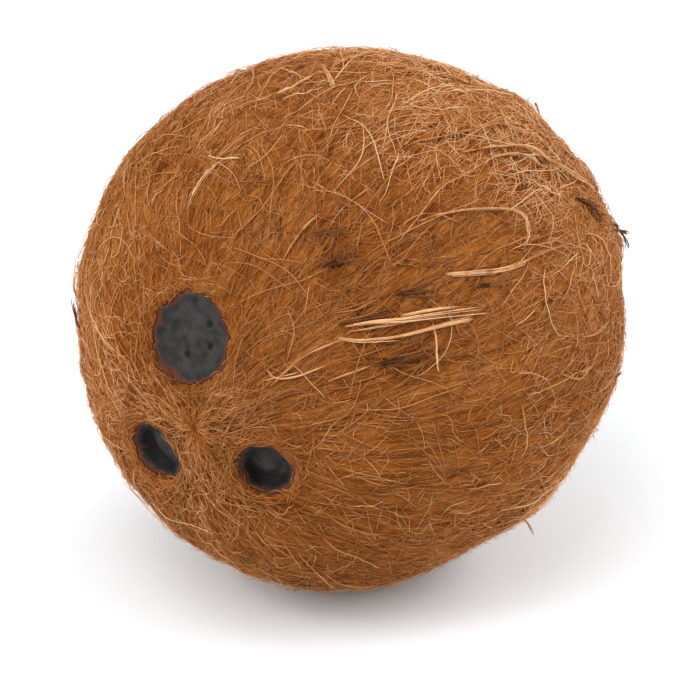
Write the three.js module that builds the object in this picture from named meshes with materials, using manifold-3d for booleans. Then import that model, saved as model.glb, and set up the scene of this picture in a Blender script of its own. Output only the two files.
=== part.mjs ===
// A husked coconut lying on its side: a round, slightly long nut with three eyes at its stem end,
// three low seams between them, ribs of fibre that run from end to end, and loose strands of coir
// that are rooted in the shell. Millimetres, +Z up. The origin is the middle of the small flat spot
// that the nut rests on. The long axis lies along Y, and the stem end with its eyes faces -Y.
import * as THREE from "three";
import { mergeVertices } from "three/addons/utils/BufferGeometryUtils.js";
import Module from "manifold-3d";

// Driving dimensions
const LENGTH = 125.5; // from the stem end to the far tip, without its soft point
const WIDTH = 118; // across the middle, without its three lobes
const REST_RADIUS = 8.5; // of the flat spot underneath
const STEM_FLATTENING = 0.9; // how far the stem end is pressed in
const STEM_FLAT_SPREAD = 26; // degrees from the stem pole
const TIP_RISE = 1.6; // the soft point at the far end
const TIP_SPREAD = 13; // degrees from the far pole
const LOBES = 3; // broad lobes round the middle
const LOBE_RISE = 0.75;
const LOBE_TURN = 62; // where one of them is
const FLAT_SIDE = { tilt: 81, turn: 143, depth: 2.2, spread: 13 }; // a side that is pressed in

// Eyes. "tilt" is the angle from the stem pole, and "turn" is the angle round the long axis,
// 0 at the top and 90 towards +X.
const EYES = [
  { name: "soft eye", tilt: 17.2, turn: -12, radius: 9.5, depth: 2.0, rim: 0.5 },
  { name: "lower left eye", tilt: 15.4, turn: -130, radius: 6.8, depth: 3.1, rim: 0.6 },
  { name: "lower right eye", tilt: 15.6, turn: 117, radius: 6.1, depth: 3.1, rim: 0.6 },
];
const EYE_FLOOR = 0.45; // share of an eye's radius that is its floor
const EYE_DOME = 0.35; // how far the plug in the floor swells
const RIM_PLACE = 1.2; // where the rim's crest is, in eye radii
const RIM_WIDTH = 0.22;

// Seams: three low ridges, each between two eyes
const SEAM_TURNS = [52, 172, -68];
const SEAM_RISE_AT_STEM = 1.5;
const SEAM_RISE = 0.45;
const SEAM_FADE = 42; // degrees from the stem pole
const SEAM_HALF_WIDTH = 3.6;
const SEAM_START = 5; // degrees from the stem pole
const SEAM_DRIFT = 16; // degrees of turn that a seam winds by the middle

// Relief
const RIB_CELLS = 40; // ribs of fibre round the middle
const RIB_LENGTHS = 7; // cells of a rib from end to end
const RIB_RISE = 0.8;
const LUMP_CELLS = 1.7; // swellings across the nut's half width
const LUMP_RISE = 0.55;

// Mesh. Rows lie close together over the eyes, and wide apart along the plain ribs.
const COLUMNS = 80;
const ROW_STEP = { eyes: 1.75, ribs: 6.6, tip: 3.4 }; // degrees of tilt between rows
const EYES_END = 28; // degrees from the stem pole
const RIBS_START = 50;
const RIBS_END = 140;
const TIP_START = 164;

// Strands
const STRAND_SIDES = 3;
const STRAND_STEP = 4.2; // mm along a strand between its rings
const FEWEST_STEPS = 5;
const ROOT_RADIUS = 0.75;
const TIP_RADIUS = 0.42;
const ROOT_DEPTH = 1.4;
const ROOT_SHARE = 0.12; // share of a strand's length that dips to its root
const SCATTERED_STRANDS = 60;
const SCATTER_SEED = 7;
const SCATTER_REACH = [14, 34]; // degrees of tilt from end to end
const ROOT_TILTS = [9, 160]; // between which a scattered strand's root lies
const END_TILTS = [20, 172]; // and its other end
const SCATTER_LIFT = [0.4, 1.5]; // mm
const SCATTER_DRIFT = 18; // degrees of turn, at most
const SCATTER_BOW = 9; // degrees of turn, at most
const FREE_SHARE = 0.25; // of the scattered strands
const CLEAR_OF_EYES = 4; // mm from an eye's rim
const CLEAR_OF_FLOOR = 34; // degrees round the straight-down direction
const WORN_SIDE = { tilt: 42, turn: 98, spread: 27 }; // degrees, where no scattered strand is left

// Strands that stand out, each from one place to another: [tilt, turn] in degrees, with how far the
// middle lifts off the shell. A free strand's end stands off the shell, where the others dip back in.
const NOTED_STRANDS = [
  { from: [34, 51], to: [65, 64], lift: 1.5 },
  { from: [35, 56], to: [61, 65], lift: 1.1 },
  { from: [43, 53], to: [60, 59], lift: 1.3 },
  { from: [34, 48], to: [48, 56], lift: 0.7 },
  { from: [52, 60], to: [50, 74], lift: 1.0 },
  { from: [60, 38], to: [83, 50], lift: 1.6 },
  { from: [57, 51], to: [80, 60], lift: 0.8 },
  { from: [77, 31], to: [128, 60], lift: 1.7 },
  { from: [82, 36], to: [109, 49], lift: 1.0 },
  { from: [21, 44], to: [33, 61], lift: 0.6 },
  { from: [69, -18], to: [89, -5], lift: 1.4 },
  { from: [56, -18], to: [42, -19], lift: 0.9 },
  { from: [91, -8], to: [78, 3], lift: 1.2, free: true },
  { from: [38, -69], to: [22, -66], lift: 0.5 },
];

const HALF_LENGTH = LENGTH / 2;
const HALF_WIDTH = WIDTH / 2;
const REST_CUT = REST_RADIUS ** 2 / WIDTH; // depth of the cut that leaves the flat spot
const WIDE = 1000; // taller and wider than the nut
const SAME_POINT = 1e-4; // points this close are one
const rad = THREE.MathUtils.degToRad;

// Direction from the nut's centre for a tilt and a turn in radians
function direction(tilt, turn) {
  const across = Math.sin(tilt);
  return new THREE.Vector3(
    across * Math.sin(turn),
    -Math.cos(tilt),
    across * Math.cos(turn),
  );
}

// Direction for a [tilt, turn] in degrees
const spot = ([tilt, turn]) => direction(rad(tilt), rad(turn));

// A repeatable number from 0 to 1 for three whole numbers, by mixing their bits with large primes
function latticeValue(i, j, k) {
  let bits = Math.imul(i, 374761393) ^ Math.imul(j, 668265263) ^ Math.imul(k, 2147483647);
  bits = Math.imul(bits ^ (bits >>> 13), 1274126177);
  return ((bits ^ (bits >>> 16)) >>> 0) / (2 ** 32 - 1);
}

const ease = (x) => x * x * (3 - 2 * x);

// Smooth noise from -1 to 1 on a lattice. A wrap above 0 makes the first axis repeat after it.
function noise(x, y, z, wrap = 0) {
  const [i, j, k] = [Math.floor(x), Math.floor(y), Math.floor(z)];
  const [u, v, w] = [ease(x - i), ease(y - j), ease(z - k)];
  const at = (a, b, c) => {
    const column = wrap > 0 ? (((i + a) % wrap) + wrap) % wrap : i + a;
    return latticeValue(column, j + b, k + c);
  };
  const { lerp } = THREE.MathUtils;
  const layer = (c) =>
    lerp(lerp(at(0, 0, c), at(1, 0, c), u), lerp(at(0, 1, c), at(1, 1, c), u), v);
  return 2 * lerp(layer(0), layer(1), w) - 1;
}

const bell = (x) => Math.exp(-x * x);

const eyeSpots = EYES.map((eye) => ({ ...eye, centre: spot([eye.tilt, eye.turn]) }));

// Distance from an eye's centre along the shell, in eye radii
function distanceToEye(eye, dir) {
  return (dir.angleTo(eye.centre) * HALF_WIDTH) / eye.radius;
}

// An eye: a bowl with a swelling floor, inside a raised rim
function eyeRelief(dir) {
  let height = 0;
  for (const eye of eyeSpots) {
    const s = distanceToEye(eye, dir);
    const bowl = 1 - THREE.MathUtils.smoothstep(s, EYE_FLOOR, 1);
    const dome = EYE_DOME * Math.max(0, 1 - (s / EYE_FLOOR) ** 2);
    height += dome - eye.depth * bowl + eye.rim * bell((s - RIM_PLACE) / RIM_WIDTH);
  }
  return height;
}

// How much of the ribs shows here: none in or right beside an eye
function outsideEyes(dir) {
  const nearest = Math.min(...eyeSpots.map((eye) => distanceToEye(eye, dir)));
  return THREE.MathUtils.smoothstep(nearest, 1, 1.5);
}

// The three seams: steep near the stem end, low over the rest
function seamRelief(tilt, turn) {
  const start = THREE.MathUtils.smoothstep(tilt, 0, rad(SEAM_START));
  const drift = SEAM_DRIFT * Math.sin(Math.min(tilt, Math.PI / 2)) ** 2;
  const rise = SEAM_RISE + (SEAM_RISE_AT_STEM - SEAM_RISE) * bell(tilt / rad(SEAM_FADE));
  let height = 0;
  for (const place of SEAM_TURNS) {
    const away = turn - rad(place + drift);
    const gap = Math.atan2(Math.sin(away), Math.cos(away));
    height += bell((gap * Math.sin(tilt) * HALF_WIDTH) / SEAM_HALF_WIDTH);
  }
  return rise * THREE.MathUtils.lerp(1, Math.min(height, 1), start);
}

// Ribs of fibre that run from end to end and fade at the two poles
function ribRelief(tilt, turn) {
  const column = (turn / (2 * Math.PI)) * RIB_CELLS;
  const along = (tilt / Math.PI) * RIB_LENGTHS;
  return RIB_RISE * Math.sin(tilt) * noise(column, along, 0, RIB_CELLS);
}

// Three broad lobes round the middle, and one side that is pressed in
function lobeRelief(tilt, turn, dir) {
  const lobes = LOBE_RISE * Math.cos(LOBES * (turn - rad(LOBE_TURN))) * Math.sin(tilt) ** 2;
  const away = dir.angleTo(spot([FLAT_SIDE.tilt, FLAT_SIDE.turn]));
  return lobes - FLAT_SIDE.depth * bell(away / rad(FLAT_SIDE.spread));
}

// Distance from the nut's centre to its surface
function surfaceRadius(tilt, turn) {
  const dir = direction(tilt, turn);
  const round = 1 / Math.hypot(Math.cos(tilt) / HALF_LENGTH, Math.sin(tilt) / HALF_WIDTH);
  const ends =
    TIP_RISE * bell((Math.PI - tilt) / rad(TIP_SPREAD)) -
    STEM_FLATTENING * bell(tilt / rad(STEM_FLAT_SPREAD));
  const p = dir.clone().multiplyScalar(LUMP_CELLS);
  const lumps = LUMP_RISE * Math.sin(tilt) * noise(p.x, p.y, p.z);
  const shown = outsideEyes(dir);
  const relief = shown * (seamRelief(tilt, turn) + ribRelief(tilt, turn));
  return round + ends + lumps + lobeRelief(tilt, turn, dir) + relief + eyeRelief(dir);
}

// Height of the nut's centre over the flat spot
const CENTRE_HEIGHT = surfaceRadius(Math.PI / 2, Math.PI) - REST_CUT;

// A point over the shell, at a height above it
function shellPoint(tilt, turn, height = 0) {
  return direction(tilt, turn).multiplyScalar(surfaceRadius(tilt, turn) + height);
}

// Tilts of the skin's rows from pole to pole, in degrees
function rowTilts() {
  const { smoothstep, lerp } = THREE.MathUtils;
  const tilts = [0];
  for (let tilt = 0; tilt < 180; ) {
    const eyesToRibs = lerp(ROW_STEP.eyes, ROW_STEP.ribs, smoothstep(tilt, EYES_END, RIBS_START));
    tilt += lerp(eyesToRibs, ROW_STEP.tip, smoothstep(tilt, RIBS_END, TIP_START));
    tilts.push(tilt);
  }
  const stretch = 180 / tilts.at(-1);
  return tilts.map((tilt) => tilt * stretch);
}

// The nut's skin: a sphere with its rows at those tilts, moved out to the surface
function nutGeometry() {
  const tilts = rowTilts();
  const geometry = new THREE.SphereGeometry(1, COLUMNS, tilts.length - 1);
  const position = geometry.getAttribute("position");
  const perRow = COLUMNS + 1;
  for (let i = 0; i < position.count; i++) {
    const tilt = rad(tilts[Math.floor(i / perRow)]);
    const turn = -((i % perRow) % COLUMNS) * ((2 * Math.PI) / COLUMNS);
    const p = shellPoint(tilt, turn);
    position.setXYZ(i, p.x, p.y, p.z);
  }
  return geometry;
}

// A strand: a thin cylinder, one unit long and upright, laid along the shell between two places
function strandGeometry({ from, to, lift, free = false, side = 0 }) {
  const { smoothstep, lerp } = THREE.MathUtils;
  const reach = spot(from).angleTo(spot(to)) * HALF_WIDTH;
  const steps = Math.max(FEWEST_STEPS, Math.round(reach / STRAND_STEP));
  const geometry = new THREE.CylinderGeometry(TIP_RADIUS, ROOT_RADIUS, 1, STRAND_SIDES, steps);
  const path = (u) => {
    const tilt = rad(lerp(from[0], to[0], u));
    const turn = rad(lerp(from[1], to[1], u) + side * Math.sin(Math.PI * u));
    const rooted = smoothstep(u, 0, ROOT_SHARE) * (free ? 1 : smoothstep(1 - u, 0, ROOT_SHARE));
    const arch = lift * (free ? u : Math.sin(Math.PI * u));
    return shellPoint(tilt, turn, arch * rooted - ROOT_DEPTH * (1 - rooted));
  };
  const position = geometry.getAttribute("position");
  const local = new THREE.Vector3();
  const nudge = 0.01;
  for (let i = 0; i < position.count; i++) {
    local.fromBufferAttribute(position, i);
    const u = THREE.MathUtils.clamp(local.y + 0.5, 0, 1);
    const here = path(u);
    const along = path(Math.min(u + nudge, 1)).sub(path(Math.max(u - nudge, 0))).normalize();
    const outward = here.clone().normalize();
    const sideways = new THREE.Vector3().crossVectors(along, outward).normalize();
    const over = new THREE.Vector3().crossVectors(sideways, along);
    here.addScaledVector(sideways, local.x).addScaledVector(over, local.z);
    position.setXYZ(i, here.x, here.y, here.z);
  }
  return geometry;
}

// Whether a direction is clear of the eyes, the worn side and the surface that the nut rests on
function isClear(dir) {
  const clearOfEyes = eyeSpots.every(
    (eye) => dir.angleTo(eye.centre) * HALF_WIDTH > eye.radius + CLEAR_OF_EYES,
  );
  const wornMiddle = spot([WORN_SIDE.tilt, WORN_SIDE.turn]);
  const clearOfWorn = dir.angleTo(wornMiddle) > rad(WORN_SIDE.spread);
  const clearOfFloor = dir.angleTo(new THREE.Vector3(0, 0, -1)) > rad(CLEAR_OF_FLOOR);
  return clearOfEyes && clearOfWorn && clearOfFloor;
}

// Strands spread evenly over the shell, more or less along the ribs
function scatteredStrands() {
  const { clamp, lerp, radToDeg } = THREE.MathUtils;
  const golden = 180 * (3 - Math.sqrt(5));
  let draws = 0;
  const random = (low, high) => lerp(low, high, latticeValue(draws++, SCATTER_SEED, 1));
  const rows = [];
  for (let i = 0; i < SCATTERED_STRANDS; i++) {
    const tilt = radToDeg(Math.acos(1 - (2 * (i + 0.5)) / SCATTERED_STRANDS));
    const turn = (i * golden) % 360;
    const reach = random(...SCATTER_REACH) / 2;
    const drift = random(-SCATTER_DRIFT, SCATTER_DRIFT) / 2;
    const row = {
      from: [clamp(tilt - reach, ...ROOT_TILTS), turn - drift],
      to: [clamp(tilt + reach, ...END_TILTS), turn + drift],
      lift: random(...SCATTER_LIFT),
      free: random(0, 1) < FREE_SHARE,
      side: random(-SCATTER_BOW, SCATTER_BOW),
    };
    if ([row.from, [tilt, turn], row.to].every((place) => isClear(spot(place)))) rows.push(row);
  }
  return rows;
}

const wasm = await Module();
wasm.setup();

// A closed geometry as a solid that can be joined and cut
function solidOf(geometry) {
  geometry.deleteAttribute("normal");
  geometry.deleteAttribute("uv");
  const merged = mergeVertices(geometry, SAME_POINT);
  return new wasm.Manifold(
    new wasm.Mesh({
      numProp: 3,
      vertProperties: merged.getAttribute("position").array,
      triVerts: new Uint32Array(merged.index.array),
    }),
  );
}

// A solid's surface as a geometry for a mesh
function geometryOf(solid) {
  const { vertProperties, triVerts } = solid.getMesh();
  const geometry = new THREE.BufferGeometry();
  geometry.setAttribute("position", new THREE.BufferAttribute(vertProperties, 3));
  geometry.setIndex(new THREE.BufferAttribute(triVerts, 1));
  geometry.computeVertexNormals();
  return geometry;
}

// The largest body of a solid, with sealed hollows filled and loose scraps dropped
function largestBody(solid) {
  return solid.decompose().sort((a, b) => b.volume() - a.volume())[0];
}

// The whole nut: skin and strands in one body, cut flat where it rests
function coconutGeometry() {
  const strands = [...NOTED_STRANDS, ...scatteredStrands()].map(strandGeometry);
  let solid = solidOf(nutGeometry());
  for (const strand of strands) solid = solid.add(solidOf(strand));
  const above = new THREE.BoxGeometry(WIDE, WIDE, WIDE);
  above.translate(0, 0, WIDE / 2 - CENTRE_HEIGHT);
  return geometryOf(largestBody(solid.intersect(solidOf(above))));
}

const shell = new THREE.MeshStandardMaterial({
  name: "coir shell",
  color: new THREE.Color("#8c5427"),
  roughness: 0.92,
  metalness: 0,
});

const coconut = new THREE.Mesh(coconutGeometry(), shell);
coconut.name = "coconut";
coconut.position.z = CENTRE_HEIGHT;

const part = new THREE.Group();
part.add(coconut);

export default part;
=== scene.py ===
"""A husked coconut lying on its side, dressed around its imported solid.

The nut is a fine shell with seams, ribs and three sunken eyes, covered by mats of coir fibre that run from
the stem end to the far tip. Loose strands, curly stray fibres and short fuzz stand out of it. Sizes are in
millimetres and angles in degrees, and each mesh is written in metres. "Tilt" is the angle from the stem
pole, which faces -Y, and "turn" is the angle round the long axis, 0 at the top and 90 towards +X.
"""

import itertools
import logging
import math
from dataclasses import dataclass
from enum import Enum
from functools import cached_property

import bpy
import numpy as np
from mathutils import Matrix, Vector


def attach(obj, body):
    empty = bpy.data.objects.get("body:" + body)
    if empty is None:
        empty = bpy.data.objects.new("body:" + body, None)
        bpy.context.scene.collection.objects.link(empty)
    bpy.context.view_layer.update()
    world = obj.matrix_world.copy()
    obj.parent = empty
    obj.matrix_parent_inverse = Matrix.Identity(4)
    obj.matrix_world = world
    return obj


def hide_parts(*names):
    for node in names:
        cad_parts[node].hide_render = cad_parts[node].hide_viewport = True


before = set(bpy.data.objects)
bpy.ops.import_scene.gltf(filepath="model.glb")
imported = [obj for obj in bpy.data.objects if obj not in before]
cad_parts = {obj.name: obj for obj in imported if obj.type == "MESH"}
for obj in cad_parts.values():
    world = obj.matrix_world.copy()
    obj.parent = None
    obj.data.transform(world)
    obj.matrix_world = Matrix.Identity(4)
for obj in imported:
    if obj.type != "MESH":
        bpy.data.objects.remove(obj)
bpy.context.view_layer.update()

MM = 0.001
NODE = "coconut"
BODY = "root"
PHOTO_PIXELS = 700
RIB_LAYER, GRAIN_LAYER, SWAY_LAYER = 0, 3, 9  # separate slices of the same noise
ROOT_TONE = 0.07  # how much darker a fibre is at its root
TIP_TONE = 0.09  # how much paler it is at its tip
DARKEST_TONE = 0.02
MIX_FACTOR, MIX_A, MIX_B, MIX_RESULT = 0, 6, 7, 2  # a colour Mix node's sockets
log = logging.getLogger("coconut")

Numbers = np.ndarray
Colour = tuple[float, float, float, float]


def linear(red: int, green: int, blue: int) -> Colour:
    """Turns a colour of 0 to 255 a channel, as seen on a screen, into the shader's linear colour.

    Args:
        red: The red channel.
        green: The green channel.
        blue: The blue channel.

    Returns:
        The linear colour, with full alpha.
    """
    shares = [channel / 255 for channel in (red, green, blue)]
    curve = [s / 12.92 if s <= 0.04045 else ((s + 0.055) / 1.055) ** 2.4 for s in shares]
    return (*curve, 1.0)


class Tone(Enum):
    """The browns of coir and of the eyes."""

    CREVICE = linear(54, 25, 8)
    DARK = linear(88, 42, 6)
    RED_BROWN = linear(118, 60, 11)
    COIR = linear(145, 82, 24)
    TAN = linear(177, 117, 65)
    STRAW = linear(205, 155, 108)
    PALE_STRAW = linear(226, 184, 140)
    MEMBRANE = linear(47, 46, 45)
    MEMBRANE_DARK = linear(30, 27, 26)
    # Painted shade for the eyes' crevices and pores
    HOLLOW_SHADE = linear(14, 11, 10)
    EYE_RIM = linear(88, 44, 24)
    FUZZ = linear(224, 168, 116)


# Noise


def lattice_value(i: Numbers, j: Numbers, k: Numbers) -> Numbers:
    """Gives a repeatable number from 0 to 1 for three whole numbers, by mixing their bits with primes.

    Args:
        i: First whole numbers.
        j: Second whole numbers.
        k: Third whole numbers.

    Returns:
        One number for each triple.
    """
    i, j, k = (np.asarray(n, np.int64).astype(np.uint32) for n in (i, j, k))
    bits = (i * np.uint32(374761393)) ^ (j * np.uint32(668265263)) ^ (k * np.uint32(2147483647))
    bits = (bits ^ (bits >> np.uint32(13))) * np.uint32(1274126177)
    return (bits ^ (bits >> np.uint32(16))).astype(float) / (2**32 - 1)


def ease(x: Numbers) -> Numbers:
    """Smooths a share from 0 to 1."""
    return x * x * (3 - 2 * x)


def smoothstep(x: Numbers, low: float, high: float) -> Numbers:
    """Rises smoothly from 0 at low to 1 at high."""
    return ease(np.clip((x - low) / (high - low), 0, 1))


def bell(x: Numbers) -> Numbers:
    """A smooth hump, 1 at 0."""
    return np.exp(-x * x)


def noise(x: Numbers, y: Numbers, z: Numbers, wrap: int = 0) -> Numbers:
    """Smooth noise from -1 to 1 on a lattice of whole numbers.

    Args:
        x: First coordinate, which repeats after wrap.
        y: Second coordinate.
        z: Third coordinate.
        wrap: How many cells the first axis has before it repeats, or 0 for no end.

    Returns:
        The noise at each place.
    """
    x, y, z = np.broadcast_arrays(*(np.asarray(n, float) for n in (x, y, z)))
    corner = [np.floor(n).astype(np.int64) for n in (x, y, z)]
    u, v, w = (ease(n - c) for n, c in zip((x, y, z), corner))
    total = np.zeros(x.shape)
    for a, b, c in np.ndindex(2, 2, 2):
        column = (corner[0] + a) % wrap if wrap else corner[0] + a
        weight = (u if a else 1 - u) * (v if b else 1 - v) * (w if c else 1 - w)
        total += weight * lattice_value(column, corner[1] + b, corner[2] + c)
    return 2 * total - 1


# Form


def direction(tilt: Numbers, turn: Numbers) -> Numbers:
    """Gives the direction from the nut's centre for tilts and turns in radians.

    Args:
        tilt: Angles from the stem pole.
        turn: Angles round the long axis.

    Returns:
        Unit vectors, in the last axis.
    """
    across = np.sin(tilt)
    return np.stack([across * np.sin(turn), -np.cos(tilt), across * np.cos(turn)], axis=-1)


def tilt_and_turn(directions: Numbers) -> tuple[Numbers, Numbers]:
    """Gives the tilt and turn, in radians, of unit vectors."""
    tilt = np.arccos(np.clip(-directions[..., 1], -1, 1))
    return tilt, np.arctan2(directions[..., 0], directions[..., 2])


def unit(vectors: Numbers) -> Numbers:
    """Scales vectors to length 1."""
    return vectors / np.maximum(np.linalg.norm(vectors, axis=-1, keepdims=True), 1e-12)


def shell_axes(tilt: Numbers, turn: Numbers) -> tuple[Numbers, Numbers]:
    """Gives the two directions along the shell at tilts and turns in radians.

    Args:
        tilt: Angles from the stem pole.
        turn: Angles round the long axis.

    Returns:
        Unit vectors away from the stem pole, and unit vectors along the turn.
    """
    away = np.stack([np.cos(tilt) * np.sin(turn), np.sin(tilt), np.cos(tilt) * np.cos(turn)], -1)
    return away, np.stack([np.cos(turn), np.zeros_like(turn), -np.sin(turn)], -1)


def turned(angle: Numbers, first: Numbers, second: Numbers) -> Numbers:
    """Gives the vectors that lie at angles, in radians, from first ones towards second ones."""
    return np.cos(angle)[..., None] * first + np.sin(angle)[..., None] * second


@dataclass(frozen=True)
class Spot:
    """A place on the shell."""

    tilt: float
    turn: float

    @property
    def centre(self) -> Numbers:
        """Direction of the place from the nut's centre."""
        return direction(np.radians(self.tilt), np.radians(self.turn))

    def angle(self, directions: Numbers) -> Numbers:
        """Gives the angles, in radians, between directions and the place."""
        return np.arccos(np.clip(directions @ self.centre, -1, 1))


@dataclass(frozen=True)
class Eye(Spot):
    """One of the three sunken eyes at the stem end.

    Its bearings are 0 away from the stem pole and 90 towards a greater turn. The crevice between the plug
    and the wall is widest at one bearing.
    """

    radius: float
    depth: float
    rim: float
    crevice_depth: float
    crevice_bearing: float
    crevice_evenness: float
    crevice_place: float = 0.7
    crevice_width: float = 0.2
    crevice_fall: float = 1.5

    @property
    def axes(self) -> tuple[Numbers, Numbers]:
        """Directions along the shell at the eye's middle: away from the stem pole, and along the turn."""
        return shell_axes(np.radians(self.tilt), np.radians(self.turn))

    def distance(self, directions: Numbers, half_width: float) -> Numbers:
        """Gives the distance from the eye's middle along a shell of that half width, in the eye's radii."""
        return self.angle(directions) * half_width / self.radius

    def crevice(self, directions: Numbers, distance: Numbers) -> Numbers:
        """Gives how far into the crevice each direction is.

        Args:
            directions: Unit vectors from the nut's centre.
            distance: Their distances from the eye's middle, in its radii.

        Returns:
            Shares from 0 to 1.
        """
        away, across = self.axes
        bearing = np.arctan2(directions @ across, directions @ away)
        side = 0.5 + 0.5 * np.cos(bearing - np.radians(self.crevice_bearing))
        side = self.crevice_evenness + (1 - self.crevice_evenness) * side**self.crevice_fall
        return side * bell((distance - self.crevice_place) / self.crevice_width)


@dataclass(frozen=True)
class Pore(Spot):
    """A small dark dimple in the soft eye."""

    radius: float
    depth: float = 0.35

    def share(self, directions: Numbers, half_width: float) -> Numbers:
        """Gives how far into the pore each direction is, from 0 to 1."""
        return bell(self.angle(directions) * half_width / self.radius)


@dataclass(frozen=True)
class Area(Spot):
    """A round area of the shell, which fades out or ends at its spread."""

    spread: float

    def distance(self, directions: Numbers) -> Numbers:
        """Gives how far directions are from its middle, in spreads."""
        return np.degrees(self.angle(directions)) / self.spread

    def share(self, directions: Numbers) -> Numbers:
        """Gives how much directions belong to the area, from 0 to 1."""
        return bell(self.distance(directions))


@dataclass(frozen=True)
class ToneAndPaintedLight:
    """A round area where the fibres are paler or darker, partly in tone and partly as painted light and
    shadow.
    """

    area: Area
    tone: float


@dataclass(frozen=True)
class NutForm:
    """The nut's outside as a distance from its centre, by tilt and turn."""

    length: float = 125.5
    width: float = 118.0
    rest_radius: float = 8.5
    stem_flattening: float = 0.9
    stem_flat_spread: float = 26.0
    tip_rise: float = 1.6
    tip_spread: float = 13.0
    lobes: int = 3
    lobe_rise: float = 0.75
    lobe_turn: float = 62.0
    flat_side: Area = Area(81, 143, 13)
    flat_side_depth: float = 2.2
    worn_side: Area = Area(42, 98, 27)
    combed_side: Area = Area(40, 128, 46)
    # Partly tone, partly painted light: paler top and edges, a darker middle, and painted shadow by the pale
    # strands.
    tones_and_painted_lights: tuple[ToneAndPaintedLight, ...] = (
        ToneAndPaintedLight(Area(46, 42, 22), -0.18), ToneAndPaintedLight(Area(91, 34, 26), 0.24), ToneAndPaintedLight(Area(30, -75, 22), 0.14),
        ToneAndPaintedLight(Area(58, -25, 24), -0.05), ToneAndPaintedLight(Area(25, 100, 28), 0.08), ToneAndPaintedLight(Area(70, 51, 11), -0.14),
        ToneAndPaintedLight(Area(52, 52, 3.5), -0.3), ToneAndPaintedLight(Area(45, 34, 4), -0.26), ToneAndPaintedLight(Area(44, 66, 4), -0.24),
        ToneAndPaintedLight(Area(47, 25, 3), -0.22), ToneAndPaintedLight(Area(44, 51, 3), -0.2), ToneAndPaintedLight(Area(107, 58, 5), -0.24),
        ToneAndPaintedLight(Area(50, 155, 20), -0.12), ToneAndPaintedLight(Area(32, -26, 6), 0.1), ToneAndPaintedLight(Area(24, 136, 8), 0.09),
        ToneAndPaintedLight(Area(74, 31, 10), 0.09), ToneAndPaintedLight(Area(86, 62, 8), 0.08), ToneAndPaintedLight(Area(27, 47, 5), -0.08),
    )
    eyes: tuple[Eye, ...] = (
        Eye(
            tilt=17.2, turn=-12, radius=9.5, depth=2.0, rim=0.5, crevice_depth=0.35, crevice_bearing=-120,
            crevice_evenness=0.5, crevice_place=0.8, crevice_width=0.13,
        ),
        Eye(
            tilt=15.4, turn=-130, radius=6.8, depth=3.1, rim=0.6, crevice_depth=1.3, crevice_bearing=-5,
            crevice_evenness=0.1,
        ),
        Eye(
            tilt=15.6, turn=117, radius=6.1, depth=3.1, rim=0.6, crevice_depth=1.3, crevice_bearing=85,
            crevice_evenness=0.15,
        ),
    )
    pores: tuple[Pore, ...] = (Pore(20.4, -1.3, 0.75), Pore(16.0, 1.6, 0.7), Pore(14.0, -19.6, 0.8))
    eye_floor: float = 0.45
    eye_dome: float = 0.35
    rim_place: float = 1.2
    rim_width: float = 0.22
    relief_fades_in: tuple[float, float] = (1.0, 1.5)
    seam_turns: tuple[float, ...] = (52, 172, -68)
    seam_rise_at_stem: float = 1.5
    seam_rise: float = 0.45
    seam_fade: float = 42.0
    seam_half_width: float = 3.6
    seam_start: float = 5.0
    seam_drift: float = 16.0
    rib_cells: int = 40
    rib_lengths: float = 7.0
    rib_rise: float = 0.8
    lump_cells: float = 1.7
    lump_rise: float = 0.55
    grain_cells: int = 300
    grain_lengths: float = 17.0
    grain_rise: float = 0.34
    grain_fades_in: tuple[float, float] = (0.04, 0.45)
    grain_sway: float = 2.5
    sway_cells: int = 24
    sway_lengths: float = 5.0 * math.pi
    pit_cells: float = 19.0
    pit_rise: float = 0.13

    @property
    def half_width(self) -> float:
        """Half the nut's width."""
        return self.width / 2

    @cached_property
    def centre_height(self) -> float:
        """Height of the nut's centre over the surface it rests on."""
        straight_down = self.radius(np.array(np.pi / 2), np.array(np.pi), fine=False)
        return float(straight_down) - self.rest_radius**2 / self.width

    @property
    def centre(self) -> Numbers:
        """The nut's centre."""
        return np.array([0.0, 0.0, self.centre_height])

    def shade(self, directions: Numbers) -> Numbers:
        """Gives how much paler the fibres are here, in tone: partly their own, partly painted light and
        shadow.
        """
        return sum(shade.tone * shade.area.share(directions) for shade in self.tones_and_painted_lights)

    def eye_distance(self, directions: Numbers) -> Numbers:
        """Gives the distance to the nearest eye's centre along the shell, in that eye's radii.

        Args:
            directions: Unit vectors from the nut's centre.

        Returns:
            One distance for each direction.
        """
        return np.min([eye.distance(directions, self.half_width) for eye in self.eyes], axis=0)

    def is_clear_of_eyes(self, paths: Numbers, nearest: float) -> Numbers:
        """Says which paths stay further from every eye's middle than so many of its radii."""
        return self.eye_distance(paths).min(1) > nearest

    def eye_relief(self, directions: Numbers) -> Numbers:
        """Gives the height of the eyes' bowls, swelling floors and raised rims.

        Args:
            directions: Unit vectors from the nut's centre.

        Returns:
            One height for each direction, in millimetres.
        """
        height = np.zeros(directions.shape[:-1])
        for eye in self.eyes:
            away = eye.distance(directions, self.half_width)
            bowl = 1 - smoothstep(away, self.eye_floor, 1)
            dome = self.eye_dome * np.maximum(0, 1 - (away / self.eye_floor) ** 2)
            height += dome - eye.depth * bowl + eye.rim * bell((away - self.rim_place) / self.rim_width)
        return height

    def eye_hollows_and_shade(self, directions: Numbers) -> tuple[Numbers, Numbers]:
        """Gives the crevices and pores of the eyes.

        Args:
            directions: Unit vectors from the nut's centre.

        Returns:
            How deep they are, in millimetres, and the painted shade that darkens them, from 0 to 1.
        """
        depth = np.zeros(directions.shape[:-1])
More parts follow.
